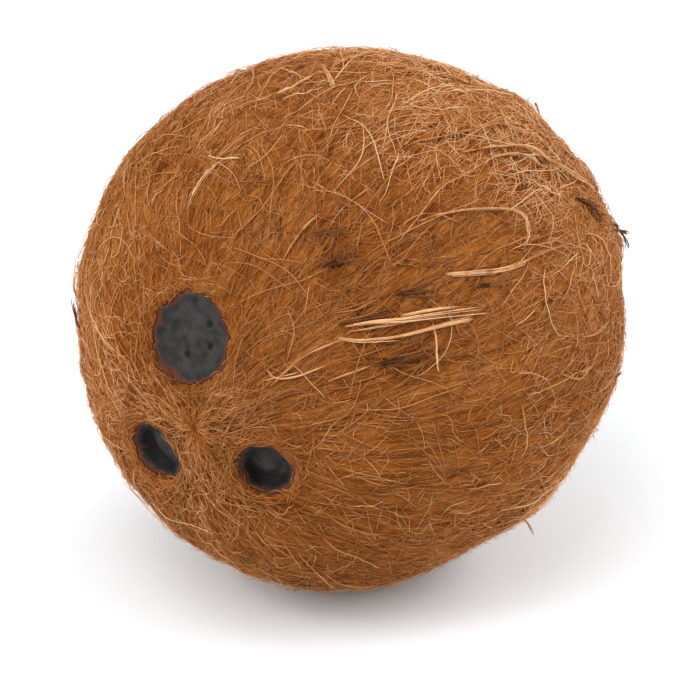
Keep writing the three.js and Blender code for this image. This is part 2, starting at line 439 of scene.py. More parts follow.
        # The crevices and the pores get painted shade, darkest where they are deepest.
        dark = np.zeros(directions.shape[:-1])
        for eye in self.eyes:
            share = eye.crevice(directions, eye.distance(directions, self.half_width))
            depth += eye.crevice_depth * share
            dark = np.maximum(dark, share * min(1.0, eye.crevice_depth))
        for pore in self.pores:
            share = pore.share(directions, self.half_width)
            depth += pore.depth * share
            dark = np.maximum(dark, share)
        return depth, dark

    def seam_relief(self, tilt: Numbers, turn: Numbers) -> Numbers:
        """Gives the height of the three seams, steep near the stem end and low over the rest.

        Args:
            tilt: Angles from the stem pole, in radians.
            turn: Angles round the long axis, in radians.

        Returns:
            One height for each place, in millimetres.
        """
        start = smoothstep(tilt, 0, np.radians(self.seam_start))
        spread = bell(tilt / np.radians(self.seam_fade))
        rise = self.seam_rise + (self.seam_rise_at_stem - self.seam_rise) * spread
        drift = np.radians(self.seam_drift) * np.sin(np.minimum(tilt, np.pi / 2)) ** 2
        height = np.zeros(np.shape(tilt))
        for place in np.radians(self.seam_turns):
            away = turn - place - drift
            gap = np.arctan2(np.sin(away), np.cos(away))
            height += bell(gap * np.sin(tilt) * self.half_width / self.seam_half_width)
        return rise * (1 + (np.minimum(height, 1) - 1) * start)

    def rib_relief(self, tilt: Numbers, turn: Numbers) -> Numbers:
        """Gives the height of the ribs that run from end to end.

        Args:
            tilt: Angles from the stem pole, in radians.
            turn: Angles round the long axis, in radians.

        Returns:
            One height for each place, in millimetres.
        """
        column = turn / (2 * np.pi) * self.rib_cells
        along = tilt / np.pi * self.rib_lengths
        return self.rib_rise * np.sin(tilt) * noise(column, along, RIB_LAYER, self.rib_cells)

    def grain_relief(self, tilt: Numbers, turn: Numbers) -> Numbers:
        """Gives the height of the fine creases between bundles of fibre, and of small pits.

        Args:
            tilt: Angles from the stem pole, in radians.
            turn: Angles round the long axis, in radians.

        Returns:
            One height for each place, in millimetres.
        """
        dirs = direction(tilt, turn) * self.pit_cells
        pits = noise(dirs[..., 0], dirs[..., 1], dirs[..., 2])
        round_, along = turn / (2 * np.pi), tilt / np.pi
        sway = noise(round_ * self.sway_cells, along * self.sway_lengths, SWAY_LAYER, self.sway_cells)
        column = round_ * self.grain_cells + self.grain_sway * sway
        creases = noise(column, along * self.grain_lengths, GRAIN_LAYER, self.grain_cells)
        coarse = 1 - 2 * np.abs(creases)
        fade = smoothstep(np.sin(tilt), *self.grain_fades_in)
        return fade * self.grain_rise * coarse + self.pit_rise * pits

    def radius(self, tilt: Numbers, turn: Numbers, fine: bool = True) -> Numbers:
        """Gives the distance from the nut's centre to its surface.

        Args:
            tilt: Angles from the stem pole, in radians.
            turn: Angles round the long axis, in radians.
            fine: Whether the creases between bundles of fibre count.

        Returns:
            One distance for each place, in millimetres.
        """
        dirs = direction(tilt, turn)
        body = 1 / np.hypot(np.cos(tilt) / (self.length / 2), np.sin(tilt) / self.half_width)
        ends = self.tip_rise * bell((np.pi - tilt) / np.radians(self.tip_spread))
        ends = ends - self.stem_flattening * bell(tilt / np.radians(self.stem_flat_spread))
        p = dirs * self.lump_cells
        lumps = self.lump_rise * np.sin(tilt) * noise(p[..., 0], p[..., 1], p[..., 2])
        lobes = self.lobe_rise * np.cos(self.lobes * (turn - np.radians(self.lobe_turn))) * np.sin(tilt) ** 2
        lumps = lumps + lobes - self.flat_side_depth * self.flat_side.share(dirs)
        shown = smoothstep(self.eye_distance(dirs), *self.relief_fades_in)
        relief = self.seam_relief(tilt, turn) + self.rib_relief(tilt, turn)
        if fine:
            relief = relief + self.grain_relief(tilt, turn)
            body = body - self.eye_hollows_and_shade(dirs)[0]
        return body + ends + lumps + shown * relief + self.eye_relief(dirs)

    def point(self, directions: Numbers, height: Numbers = 0.0) -> Numbers:
        """Gives points over the surface.

        Args:
            directions: Unit vectors from the nut's centre.
            height: Heights over the surface.

        Returns:
            Points in the part's frame, in millimetres, none lower than the surface it rests on.
        """
        distance = self.radius(*tilt_and_turn(directions)) + height
        points = self.centre + directions * distance[..., None]
        points[..., 2] = np.maximum(points[..., 2], 0)
        return points

    def touches_floor(self, directions: Numbers, clear: float) -> Numbers:
        """Says which directions reach lower than a height over the floor."""
        distance = self.radius(*tilt_and_turn(directions), fine=False)
        return self.centre_height + directions[..., 2] * distance < clear


# Meshes


def write_attribute(mesh: bpy.types.Mesh, name: str, values: Numbers) -> None:
    """Keeps one number for each vertex under a name that a material can read."""
    mesh.attributes.new(name, "FLOAT", "POINT").data.foreach_set("value", values.astype(np.float32))


def mesh_from(name: str, points: Numbers, faces: list[Numbers]) -> bpy.types.Object:
    """Makes an object from points and from faces that are sorted by their number of corners.

    Args:
        name: The object's name.
        points: Points in millimetres, one a row.
        faces: Arrays of corner numbers, one face a row.

    Returns:
        The object, smooth-shaded and linked to the scene.
    """
    mesh = bpy.data.meshes.new(name)
    loops = np.concatenate([f.ravel() for f in faces]).astype(np.int32)
    sizes = np.concatenate([np.full(len(f), f.shape[1]) for f in faces]).astype(np.int32)
    starts = np.concatenate([[0], np.cumsum(sizes)[:-1]]).astype(np.int32)
    mesh.vertices.add(len(points))
    mesh.vertices.foreach_set("co", (points * MM).astype(np.float32).ravel())
    mesh.loops.add(len(loops))
    mesh.loops.foreach_set("vertex_index", loops)
    mesh.polygons.add(len(sizes))
    mesh.polygons.foreach_set("loop_start", starts)
    mesh.polygons.foreach_set("use_smooth", np.ones(len(sizes), bool))
    mesh.update(calc_edges=True)
    mesh.validate()
    piece = bpy.data.objects.new(name, mesh)
    bpy.context.scene.collection.objects.link(piece)
    return piece


def dress(piece: bpy.types.Object, material: bpy.types.Material) -> None:
    """Gives a piece its material and its body, and reports it.

    Args:
        piece: A finished piece.
        material: Its finish.
    """
    piece.data.materials.clear()
    piece.data.materials.append(material)
    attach(piece, BODY)
    triangles = sum(len(p.vertices) - 2 for p in piece.data.polygons)
    log.info("%s: %d triangles", piece.name, triangles)


# Finishes


class Sheet:
    """The nodes of one material, with short ways to add and join them."""

    def __init__(self, name: str) -> None:
        """Starts a material with one Principled shader.

        Args:
            name: The material's name.
        """
        self.material = bpy.data.materials.new(name)
        self.material.use_nodes = True
        self.nodes = self.material.node_tree.nodes
        self.links = self.material.node_tree.links
        self.shader = next(n for n in self.nodes if n.type == "BSDF_PRINCIPLED")

    def add(self, kind: str, **settings: object) -> bpy.types.Node:
        """Adds a node and sets its properties.

        Args:
            kind: The node's type.
            **settings: Properties of the node.

        Returns:
            The node.
        """
        node = self.nodes.new(kind)
        for key, value in settings.items():
            setattr(node, key, value)
        return node

    def join(self, value: object, socket: bpy.types.NodeSocket) -> None:
        """Links a socket, or sets a plain value, on an input.

        Args:
            value: A socket or a plain value.
            socket: The input.
        """
        if isinstance(value, bpy.types.NodeSocket):
            self.links.new(value, socket)
        else:
            socket.default_value = value

    def maths(self, operation: str, a: object, b: object = 0.0) -> bpy.types.NodeSocket:
        """Adds a Math node.

        Args:
            operation: Its operation.
            a: First input.
            b: Second input.

        Returns:
            Its output.
        """
        node = self.add("ShaderNodeMath", operation=operation)
        self.join(a, node.inputs[0])
        self.join(b, node.inputs[1])
        return node.outputs[0]

    def attribute(self, name: str) -> bpy.types.NodeSocket:
        """Reads a number that the mesh keeps for each vertex."""
        return self.add("ShaderNodeAttribute", attribute_name=name).outputs["Fac"]

    def noise(
        self, vector: bpy.types.NodeSocket, scale: float, detail: float, rough: float
    ) -> bpy.types.NodeSocket:
        """Adds a noise texture.

        Args:
            vector: Where it is read.
            scale: Cells a unit.
            detail: Octaves.
            rough: Weight of the finer octaves.

        Returns:
            Its value, from 0 to 1.
        """
        node = self.add("ShaderNodeTexNoise")
        self.join(vector, node.inputs["Vector"])
        node.inputs["Scale"].default_value = scale
        node.inputs["Detail"].default_value = detail
        node.inputs["Roughness"].default_value = rough
        return node.outputs["Fac"]

    def ramp(self, factor: bpy.types.NodeSocket, stops: list[tuple[float, object]]) -> bpy.types.NodeSocket:
        """Adds a colour ramp.

        Args:
            factor: What it reads.
            stops: Places from 0 to 1, each with a Tone or a grey value.

        Returns:
            Its colour.
        """
        node = self.add("ShaderNodeValToRGB")
        elements = node.color_ramp.elements
        while len(elements) < len(stops):
            elements.new(0.5)
        for element, (place, tone) in zip(elements, stops):
            element.position = place
            element.color = tone.value if isinstance(tone, Tone) else (tone, tone, tone, 1)
        self.join(factor, node.inputs["Fac"])
        return node.outputs["Color"]

    def blend(self, factor: object, a: object, b: object, kind: str = "MIX") -> bpy.types.NodeSocket:
        """Mixes two colours.

        Args:
            factor: How much of the second one.
            a: First colour.
            b: Second colour.
            kind: How they are mixed.

        Returns:
            The mixed colour.
        """
        node = self.add("ShaderNodeMix", data_type="RGBA", blend_type=kind)
        self.join(factor, node.inputs[MIX_FACTOR])
        self.join(a, node.inputs[MIX_A])
        self.join(b, node.inputs[MIX_B])
        return node.outputs[MIX_RESULT]

    def bump(
        self, height: bpy.types.NodeSocket, depth: float, below: bpy.types.NodeSocket | None = None
    ) -> bpy.types.NodeSocket:
        """Adds a bump.

        Args:
            height: Its height, from 0 to 1.
            depth: What a height of 1 stands for, in millimetres.
            below: The normal that it starts from.

        Returns:
            The bumped normal.
        """
        node = self.add("ShaderNodeBump")
        node.inputs["Distance"].default_value = depth * MM
        self.join(height, node.inputs["Height"])
        if below is not None:
            self.join(below, node.inputs["Normal"])
        return node.outputs["Normal"]

    def from_centre(self, centre: Numbers) -> bpy.types.NodeSocket:
        """Gives the place on the piece, from the nut's centre.

        Args:
            centre: The nut's centre, in millimetres.

        Returns:
            Coordinates in metres.
        """
        place = self.add("ShaderNodeTexCoord").outputs["Object"]
        node = self.add("ShaderNodeMapping")
        node.inputs["Location"].default_value = tuple(-centre * MM)
        self.join(place, node.inputs["Vector"])
        return node.outputs["Vector"]

    def along_fibres(self, place: bpy.types.NodeSocket, round_: float, along: float) -> bpy.types.NodeSocket:
        """Gives coordinates that are long along the fibres and short across them, with no seam.

        Args:
            place: The place on the piece, from the nut's centre.
            round_: Scale across the fibres: cells a radian of turn.
            along: Scale along the fibres: cells a radian of tilt.

        Returns:
            The coordinates.
        """
        aim = self.add("ShaderNodeVectorMath", operation="NORMALIZE")
        self.join(place, aim.inputs[0])
        parts = self.add("ShaderNodeSeparateXYZ")
        self.join(aim.outputs["Vector"], parts.inputs[0])
        x, y, z = parts.outputs
        squares = self.maths("ADD", self.maths("MULTIPLY", x, x), self.maths("MULTIPLY", z, z))
        across = self.maths("SQRT", squares)
        sine = self.maths("MULTIPLY", self.maths("DIVIDE", x, across), round_)
        cosine = self.maths("MULTIPLY", self.maths("DIVIDE", z, across), round_)
        tilt = self.maths("ARCCOSINE", self.maths("MULTIPLY", y, -1.0))
        joined = self.add("ShaderNodeCombineXYZ")
        self.join(sine, joined.inputs[0])
        self.join(cosine, joined.inputs[1])
        self.join(self.maths("MULTIPLY", tilt, along), joined.inputs[2])
        return joined.outputs[0]

    def swayed(
        self, vector: bpy.types.NodeSocket, place: bpy.types.NodeSocket, sway: float, scale: float = 45.0
    ) -> bpy.types.NodeSocket:
        """Bends coordinates with a slow noise, so that nothing runs dead straight.

        Args:
            vector: The coordinates.
            place: Where the slow noise is read.
            sway: How far it bends them.
            scale: The slow noise's cells a metre.

        Returns:
            The bent coordinates.
        """
        slow = self.add("ShaderNodeTexNoise")
        self.join(place, slow.inputs["Vector"])
        slow.inputs["Scale"].default_value = scale
        level = self.add("ShaderNodeVectorMath", operation="SUBTRACT")
        self.join(slow.outputs["Color"], level.inputs[0])
        level.inputs[1].default_value = (0.5, 0.5, 0.5)
        scaled = self.add("ShaderNodeVectorMath", operation="SCALE")
        self.join(level.outputs["Vector"], scaled.inputs[0])
        scaled.inputs["Scale"].default_value = sway
        moved = self.add("ShaderNodeVectorMath", operation="ADD")
        self.join(vector, moved.inputs[0])
        self.join(scaled.outputs["Vector"], moved.inputs[1])
        return moved.outputs["Vector"]


@dataclass(frozen=True)
class Grain:
    """A noise on a material.

    The scale is in cells a metre. A grain that runs along the fibres has cells a radian of turn and of tilt
    instead, and a sway.
    """

    scale: float
    detail: float
    rough: float = 0.6
    along: float = 0.0
    sway: float = 0.0

    def on(self, sheet: Sheet, place: bpy.types.NodeSocket) -> bpy.types.NodeSocket:
        """Adds the noise.

        Args:
            sheet: The material.
            place: The place on the piece, from the nut's centre where the grain follows the fibres.

        Returns:
            Its value, from 0 to 1.
        """
        if not self.along:
            return sheet.noise(place, self.scale, self.detail, self.rough)
        lie = sheet.swayed(sheet.along_fibres(place, self.scale, self.along), place, self.sway)
        return sheet.noise(lie, 1.0, self.detail, self.rough)


@dataclass(frozen=True)
class ShellFinish:
    """The shell between the fibres: streaked browns, with dark, leathery eyes."""

    form: NutForm
    roughness: float = 0.9
    eye_roughness: float = 0.6
    specular: float = 0.12
    streaks: Grain = Grain(46, 4, along=5, sway=5)
    threads: Grain = Grain(170, 3, along=16, sway=12)
    patches: Grain = Grain(38, 3, rough=0.55)
    specks: Grain = Grain(900, 2)
    mottle: Grain = Grain(420, 4, rough=0.65)
    ragged: Grain = Grain(330, 3)
    streak_share: float = 0.42
    thread_share: float = 0.28
    patch_share: float = 0.3
    speck_share: float = 0.3
    raggedness: float = 0.5
    skin_depth: float = 0.3
    streak_depth: float = 0.6
    thread_depth: float = 0.4

    def material(self) -> bpy.types.Material:
        """Builds the shell's material.

        Returns:
            The material.
        """
        sheet = Sheet("coir_shell")
        place = sheet.from_centre(self.form.centre)
        streaks, threads, patches, specks, mottle, ragged = (
            grain.on(sheet, place)
            for grain in (self.streaks, self.threads, self.patches, self.specks, self.mottle, self.ragged)
        )
        mixed = sheet.maths("MULTIPLY", streaks, self.streak_share)
        mixed = sheet.maths("ADD", mixed, sheet.maths("MULTIPLY", threads, self.thread_share))
        mixed = sheet.maths("ADD", mixed, sheet.maths("MULTIPLY", patches, self.patch_share))
        stops = [
            (0.32, Tone.CREVICE), (0.39, Tone.DARK), (0.45, Tone.RED_BROWN), (0.52, Tone.COIR),
            (0.66, Tone.TAN),
        ]
        wood = sheet.ramp(mixed, stops)
        dimmed = sheet.ramp(specks, [(0.35, 0.35), (0.65, 1.0)])
        wood = sheet.blend(self.speck_share, wood, dimmed, "MULTIPLY")

        ragged = sheet.maths("MULTIPLY", sheet.maths("SUBTRACT", ragged, 0.5), self.raggedness)
        eye = sheet.maths("ADD", sheet.attribute("eye_distance"), ragged)
        skin = sheet.ramp(mottle, [(0.36, Tone.MEMBRANE_DARK), (0.58, Tone.MEMBRANE)])
        # Painted shade, near black, in the eyes' crevices and pores.
        hollow_shade = sheet.ramp(sheet.attribute("eye_hollow_shade"), [(0.15, 0.0), (0.65, 1.0)])
        skin = sheet.blend(hollow_shade, skin, Tone.HOLLOW_SHADE.value)
        inside = sheet.ramp(eye, [(0.86, 0.0), (0.96, 1.0)])
        rim = sheet.ramp(eye, [(0.98, 0.0), (1.22, 1.0)])
        colour = sheet.blend(rim, Tone.EYE_RIM.value, wood)
        colour = sheet.blend(inside, skin, colour)
        sheet.join(colour, sheet.shader.inputs["Base Color"])

        roughness = sheet.ramp(eye, [(0.85, self.eye_roughness), (1.15, self.roughness)])
        sheet.join(roughness, sheet.shader.inputs["Roughness"])
        woody = sheet.ramp(eye, [(0.95, 0.0), (1.2, 1.0)])
        normal = sheet.bump(mottle, self.skin_depth)
        normal = sheet.bump(sheet.maths("MULTIPLY", streaks, woody), self.streak_depth, normal)
        normal = sheet.bump(sheet.maths("MULTIPLY", threads, woody), self.thread_depth, normal)
        sheet.join(normal, sheet.shader.inputs["Normal"])
        sheet.shader.inputs["Specular IOR Level"].default_value = self.specular
        return sheet.material


@dataclass(frozen=True)
class FibreFinish:
    """Coir fibre: each fibre has its own brown, darker at its root and straw-coloured at its tip.

    Dots of painted shade in the gaps, and paler blotches, show where the fibres are tangled, not combed.
    """

    roughness: float = 0.7
    specular: float = 0.15
    sheen: float = 0.8
    dark_sheen: float = 0.1
    sheen_roughness: float = 0.5
    flecks: Grain = Grain(700, 3)
    dots: Grain = Grain(330, 2, rough=0.5)
    blotches: Grain = Grain(150, 2, rough=0.5)
    fuzz: Grain = Grain(2600, 2)
    fleck_tone: float = 0.16
    dot_shade_tone: float = 0.28
    blotch_tone: float = 0.1
    fuzz_depth: float = 0.05

    def material(self) -> bpy.types.Material:
        """Builds the fibres' material.

        Returns:
            The material.
        """
        sheet = Sheet("coir_fibre")
        place = sheet.add("ShaderNodeTexCoord").outputs["Object"]
        fleck = sheet.maths("SUBTRACT", self.flecks.on(sheet, place), 0.5)
        tone = sheet.maths("ADD", sheet.attribute("tone"), sheet.maths("MULTIPLY", fleck, self.fleck_tone))
        tangled = sheet.maths("SUBTRACT", 1.0, sheet.attribute("combed"))
        # Dark dots: painted shade for the tiny gaps between tangled fibres.
        dots = sheet.ramp(self.dots.on(sheet, place), [(0.3, 1.0), (0.42, 0.0)])
        blotches = sheet.ramp(self.blotches.on(sheet, place), [(0.56, 0.0), (0.7, 1.0)])
        paler = sheet.maths("MULTIPLY", blotches, self.blotch_tone)
        spots = sheet.maths("SUBTRACT", paler, sheet.maths("MULTIPLY", dots, self.dot_shade_tone))
        tone = sheet.maths("ADD", tone, sheet.maths("MULTIPLY", spots, tangled))
        stops = [
            (0.0, Tone.CREVICE), (0.18, Tone.DARK), (0.36, Tone.RED_BROWN), (0.54, Tone.COIR),
            (0.72, Tone.TAN), (0.88, Tone.STRAW), (1.0, Tone.PALE_STRAW),
        ]
        colour = sheet.ramp(tone, stops)
        sheet.join(colour, sheet.shader.inputs["Base Color"])
        sheet.join(sheet.bump(self.fuzz.on(sheet, place), self.fuzz_depth), sheet.shader.inputs["Normal"])
        sheet.shader.inputs["Roughness"].default_value = self.roughness
        sheet.shader.inputs["Specular IOR Level"].default_value = self.specular
        sheen = sheet.ramp(tone, [(0.1, self.dark_sheen), (0.5, self.sheen)])
        sheet.join(sheen, sheet.shader.inputs["Sheen Weight"])
        sheet.shader.inputs["Sheen Roughness"].default_value = self.sheen_roughness
        sheet.shader.inputs["Sheen Tint"].default_value = Tone.FUZZ.value
        return sheet.material


@dataclass(frozen=True)
class FloorFinish:
    """A plain white studio floor."""

    albedo: Colour = (0.86, 0.885, 0.9, 1.0)

    def material(self) -> bpy.types.Material:
        """Builds the floor's material.

        Returns:
            The material.
        """
        sheet = Sheet("white_floor")
        sheet.shader.inputs["Base Color"].default_value = self.albedo
        sheet.shader.inputs["Roughness"].default_value = 1.0
        sheet.shader.inputs["Specular IOR Level"].default_value = 0.0
        return sheet.material


# Pieces


@dataclass
class Shell:
    """The nut's skin, fine enough to show its creases."""

    form: NutForm
    columns: int = 500
    fine_step: float = 0.5
    plain_step: float = 1.15
    fine_end: float = 27.0
    plain_start: float = 33.0
    far_from_eyes: float = 4.0

    def row_tilts(self) -> Numbers:
        """Gives the tilts of the skin's rings: close together over the eyes, and wider apart elsewhere.

        Returns:
            Tilts from pole to pole, in radians.
        """
        tilts = [0.0]
        while tilts[-1] < 180:
            share = float(smoothstep(np.array(tilts[-1]), self.fine_end, self.plain_start))
            tilts.append(tilts[-1] + self.fine_step + (self.plain_step - self.fine_step) * share)
        return np.radians(np.array(tilts) * 180 / tilts[-1])

    def build(self) -> bpy.types.Object:
        """Adds a sphere with its poles on the long axis and moves its rings out to the nut's surface.

        Returns:
            The shell.
        """
        tilts = self.row_tilts()
        rings = len(tilts) - 1
        bpy.ops.mesh.primitive_uv_sphere_add(
            segments=self.columns, ring_count=rings, radius=1, rotation=(math.pi / 2, 0, 0)
        )
        piece = bpy.context.object
        piece.name = piece.data.name = "nut_shell"
        bpy.ops.object.transform_apply(location=True, rotation=True, scale=True)
        co = np.empty(len(piece.data.vertices) * 3, np.float32)
        piece.data.vertices.foreach_get("co", co)
        dirs = unit(co.reshape(-1, 3).astype(float))
        even, turn = tilt_and_turn(dirs)
        tilt = tilts[np.clip(np.round(even / np.pi * rings).astype(int), 0, rings)]
        at_pole = np.sin(tilt) < 1e-6
        turn = np.where(at_pole, 0, turn)
        dirs = direction(tilt, turn)
        points = self.form.point(dirs)
        piece.data.vertices.foreach_set("co", (points * MM).astype(np.float32).ravel())
        eye_distance = np.minimum(self.form.eye_distance(dirs), self.far_from_eyes)
        write_attribute(piece.data, "eye_distance", eye_distance)
        # How much painted shade darkens the eyes' crevices and pores.
        write_attribute(piece.data, "eye_hollow_shade", self.form.eye_hollows_and_shade(dirs)[1])
        piece.data.update()
        bpy.ops.object.shade_smooth()
        return piece


class FibreTemplate:
    """One fibre, modelled once: a thin three-sided spike, cut into rings along its length."""

    sides: int = 3
    blunt: float = 0.35

    def __init__(self, rings: int) -> None:
        """Models the spike and keeps its vertices' places along and round it.

        Args:
            rings: How many rings it has below its tip.
        """
        bpy.ops.mesh.primitive_cone_add(
            vertices=self.sides, radius1=1, radius2=0, depth=1, location=(0, 0, 0.5)
        )
        spike = bpy.context.object
        bpy.ops.object.transform_apply(location=True, rotation=True, scale=True)
        bpy.ops.object.mode_set(mode="EDIT")
        for cut in range(1, rings):
            bpy.ops.mesh.select_all(action="SELECT")
            bpy.ops.mesh.bisect(plane_co=(0, 0, cut / rings), plane_no=(0, 0, 1))
        bpy.ops.object.mode_set(mode="OBJECT")
        mesh = spike.data
        co = np.array([v.co[:] for v in mesh.vertices])
        self.along = co[:, 2]
        self.angle = np.arctan2(co[:, 1], co[:, 0])
        self.rings = np.unique(np.round(self.along, 6))
        self.ring_of = np.searchsorted(self.rings, np.round(self.along, 6))
        faces = [tuple(p.vertices) for p in mesh.polygons]
        sizes = sorted({len(f) for f in faces})
        self.faces = [np.array([f for f in faces if len(f) == n]) for n in sizes]
        bpy.data.objects.remove(spike)
        bpy.data.meshes.remove(mesh)

    def sweep(self, paths: Numbers, radii: Numbers, centre: Numbers) -> tuple[Numbers, list[Numbers]]:
        """Copies the fibre along every path, blunt up to its tip.

        Args:
            paths: For each fibre, a point for each ring, from root to tip.
            radii: Each fibre's thickest radius.
            centre: The nut's centre, which the fibres' outer sides face away from.

        Returns:
            All points, and all faces sorted by their number of corners.
        """
        step = np.gradient(paths, axis=1)
        along = unit(step)
        outward = unit(paths - centre)
        side = unit(np.cross(along, outward))
        over = np.cross(side, along)
        width = 1 - (1 - self.blunt) * self.rings**2
        width[-1] = 0
        reach = radii[:, None] * width[None, :]
        at = self.ring_of
        cosine = np.cos(self.angle)[None, :, None]
        sine = np.sin(self.angle)[None, :, None]
        spread = reach[:, at, None]
        points = paths[:, at] + spread * (cosine * side[:, at] + sine * over[:, at])
        count = len(self.along)
        offsets = (np.arange(len(paths)) * count)[:, None, None]
        faces = [(f[None] + offsets).reshape(-1, f.shape[1]) for f in self.faces]
        return points.reshape(-1, 3), faces


def walk(start: Numbers, heading: Numbers, stride: Numbers, curl: Numbers, steps: int) -> Numbers:
    """Walks over a unit sphere, straight ahead with an even curl.

    Args:
        start: Where each walk starts.
        heading: The direction in which it starts, along the sphere.
        stride: The length of each walk's step, in radians.
        curl: How far each walk turns at a step, in radians.
        steps: How many steps each walk has.

    Returns:
        For each walk, a direction for each ring.
    """
    here, ahead = start, unit(heading - start * np.sum(heading * start, -1, keepdims=True))
    aims = [here]
    for _ in range(steps):
        here = unit(here + stride[:, None] * ahead)
        ahead = unit(ahead - here * np.sum(ahead * here, -1, keepdims=True))
        side = np.cross(here, ahead)
        ahead = turned(curl, ahead, side)
        aims.append(here)
    return np.stack(aims, axis=1)


def fibres(
    name: str, form: NutForm, template: FibreTemplate, aims: Numbers, heights: Numbers, radii: Numbers,
    tones: Numbers,
) -> bpy.types.Object:
    """Makes one piece of many fibres.

    Args:
        name: The piece's name.
        form: The nut that they lie on.
        template: The fibre that is copied.
        aims: For each fibre, a direction for each ring.
        heights: For each fibre, its height over the shell at each ring.
        radii: Each fibre's thickest radius.
        tones: Each fibre's tone.

    Returns:
        The piece, which keeps for each vertex its tone and how combed the coir is there.
    """
    points, faces = template.sweep(form.point(aims, heights), radii, form.centre)
    piece = mesh_from(name, points, faces)
    per_vertex = tones[:, None] - ROOT_TONE + (ROOT_TONE + TIP_TONE) * template.along[None, :]
    write_attribute(piece.data, "tone", np.clip(per_vertex, DARKEST_TONE, 1).ravel())
    write_attribute(piece.data, "combed", form.combed_side.share(unit(points - form.centre)))
    return piece


@dataclass(frozen=True)
class FibreStyle:
    """What the fibres of one mat are like.

    Lean, stray_share, curl and wave say how far they leave the lie of the ribs. Sink is how deep their roots
    lie and lift how high their middles are, and free ones stand off the shell at their tips.
    """

    name: str
    count: int
    seed: int
    rings: int
    length: tuple[float, float]
    radius: tuple[float, float]
    lean: float
    stray_share: float
    curl: float
    sink: float
    lift: tuple[float, float]
    free_share: float
    free_lift: tuple[float, float]
    tone: float
    tone_spread: float
    patch_tone: float = 0.08
    wave: float = 0.0
    worn_off: float = 0.0


@dataclass
class FibreMat:
    """Many fibres that lie along the shell, as one piece."""

    form: NutForm
    style: FibreStyle
    eye_clearance: float = 1.1
    floor_clearance: float = 1.2
    pole_clearance: float = 0.05
    patch_cells: float = 3.2
    spare: float = 1.35
    wave_turn: float = 9.0
    bed_roundness: float = 0.6
    rooted_share: float = 0.35

    def steps(self, random: np.random.Generator, template: FibreTemplate, count: int) -> Numbers:
        """Walks each fibre over the shell, along the ribs with some lean and curl.

        Args:
            random: The mat's own source of chance.
            template: The fibre that is copied.
            count: How many fibres to draw.

        Returns:
            For each fibre, a direction for each ring.
        """
        style = self.style
        start = unit(random.normal(size=(count, 3)))
        length = random.uniform(*style.length, count)
        heading = np.radians(random.normal(0, style.lean, count))
        stray = random.random(count) < style.stray_share
        heading = np.where(stray, random.uniform(-np.pi, np.pi, count), heading)
        heading = heading + np.pi * (random.random(count) < 0.5)
        curl = np.radians(random.normal(0, style.curl, count))
        phase = random.uniform(0, 2 * np.pi, count)
        rings = len(template.rings)
        stride = length / self.form.half_width / (rings - 1)
        aims = [start]
        here = start
        for ring in range(1, rings):
            share = ring / (rings - 1)
            angle = heading + curl * share + style.wave * np.sin(phase + self.wave_turn * share)
            here = unit(here + stride[:, None] * turned(angle, *shell_axes(*tilt_and_turn(here))))
            aims.append(here)
        return np.stack(aims, axis=1)

    def heights(self, random: np.random.Generator, template: FibreTemplate, count: int) -> Numbers:
        """Gives each fibre's height over the shell at each ring.

        Args:
            random: The mat's own source of chance.
            template: The fibre that is copied.
            count: How many fibres to draw.

        Returns:
            For each fibre, a height for each ring, in millimetres.
        """
        style = self.style
        share = template.rings[None, :]
        lift = random.uniform(*style.lift, count)[:, None]
        free = (random.random(count) < style.free_share)[:, None]
        stand = random.uniform(*style.free_lift, count)[:, None]
        risen = lift + style.sink
        bedded = -style.sink + risen * np.sin(np.pi * share) ** self.bed_roundness
        loose = -style.sink + risen * smoothstep(share, 0, self.rooted_share) + stand * share**2
        return np.where(free, loose, bedded)

    def build(self) -> bpy.types.Object:
        """Builds the mat.

        Returns:
            The mat.
        """
        style = self.style
        template = FibreTemplate(style.rings)
        random = np.random.default_rng(style.seed)
        drawn = int(style.count * self.spare)
        aims = self.steps(random, template, drawn)
        height = self.heights(random, template, drawn)
        radii = random.uniform(*style.radius, drawn)
        tones = random.normal(style.tone, style.tone_spread, drawn)
        clear = self.form.is_clear_of_eyes(aims, self.eye_clearance)
        low = self.form.touches_floor(aims, self.floor_clearance).any(1)
        at_pole = np.abs(aims[..., 1]).max(1) > 1 - self.pole_clearance**2
        gone = random.random(drawn) < style.worn_off * self.form.combed_side.share(aims[:, 0])
        kept = np.flatnonzero(clear & ~(low | at_pole | gone))[: style.count]
        aims, height, radii, tones = aims[kept], height[kept], radii[kept], tones[kept]
        middle = aims[:, len(template.rings) // 2]
        patch = noise(*(middle * self.patch_cells).T)
        # The areas paint light and shadow into each fibre's tone, as well as tone of its own.
        tones = tones + style.patch_tone * patch + self.form.shade(middle)
        return fibres(style.name, self.form, template, aims, height, radii, tones)


